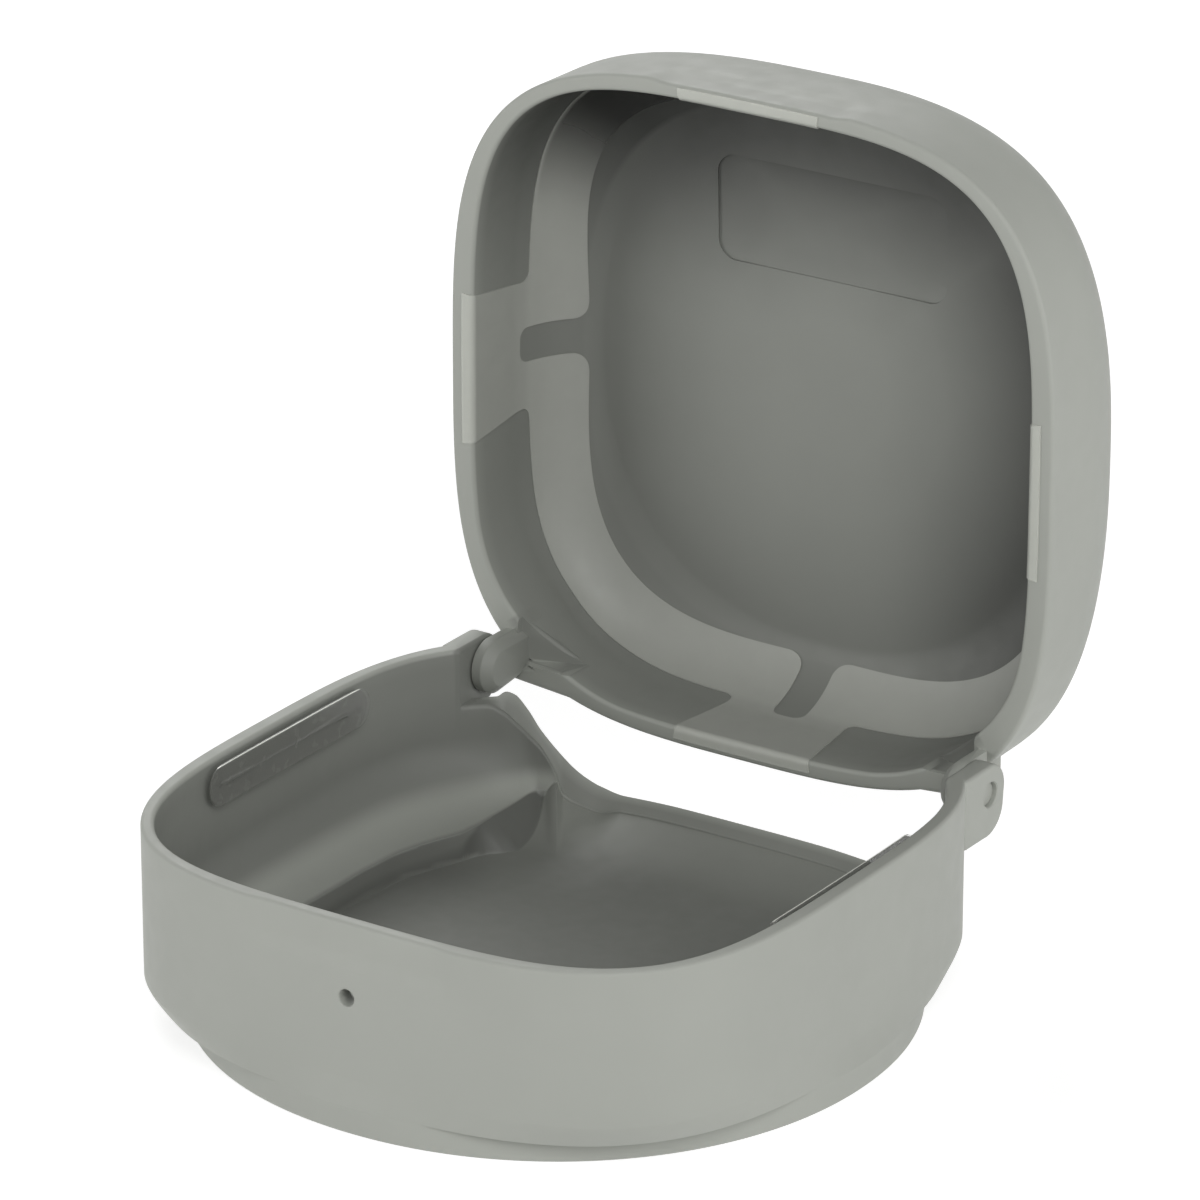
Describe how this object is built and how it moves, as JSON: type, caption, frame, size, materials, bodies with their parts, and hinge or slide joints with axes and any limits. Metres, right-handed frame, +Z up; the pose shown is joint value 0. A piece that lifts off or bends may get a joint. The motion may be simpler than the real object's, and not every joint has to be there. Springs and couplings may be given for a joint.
{
  "type": "earbud case cover",
  "caption": "Two-part hard shell cover for a rounded-square earbud charging case, with a back hinge, a round foot, a light hole, an open back and clear mounting tapes.",
  "frame": {"origin": "middle of the flat round foot under the base", "axes": "+Z up from the foot, +Y to the back where the hinge is, +X to the right seen from the front"},
  "size_m": [0.0542, 0.0662, 0.0633],
  "materials": {
    "shell_grey": "fine matte coating over hard plastic",
    "pin_grey": "matte plastic",
    "lid_tape_clear": "clear double-sided adhesive film",
    "side_tape_clear": "clear double-sided adhesive film",
    "liner_clear": "glossy clear release liner"
  },
  "bodies": {
    "base": {"base_shell": "shell_grey", "hinge_pin_left": "pin_grey", "hinge_pin_right": "pin_grey", "base_tape_left": "side_tape_clear", "base_tape_right": "side_tape_clear", "base_liner_left": "liner_clear", "base_liner_right": "liner_clear"},
    "lid": {"lid_shell": "shell_grey", "lid_tape": "lid_tape_clear"}
  },
  "joints": [
    {"name": "lid_hinge", "type": "hinge", "parent": "base", "child": "lid", "pos_m": [0, 0.0228, 0.01384], "axis": [1, 0, 0], "range_deg": [0, 90.2]}
  ]
}
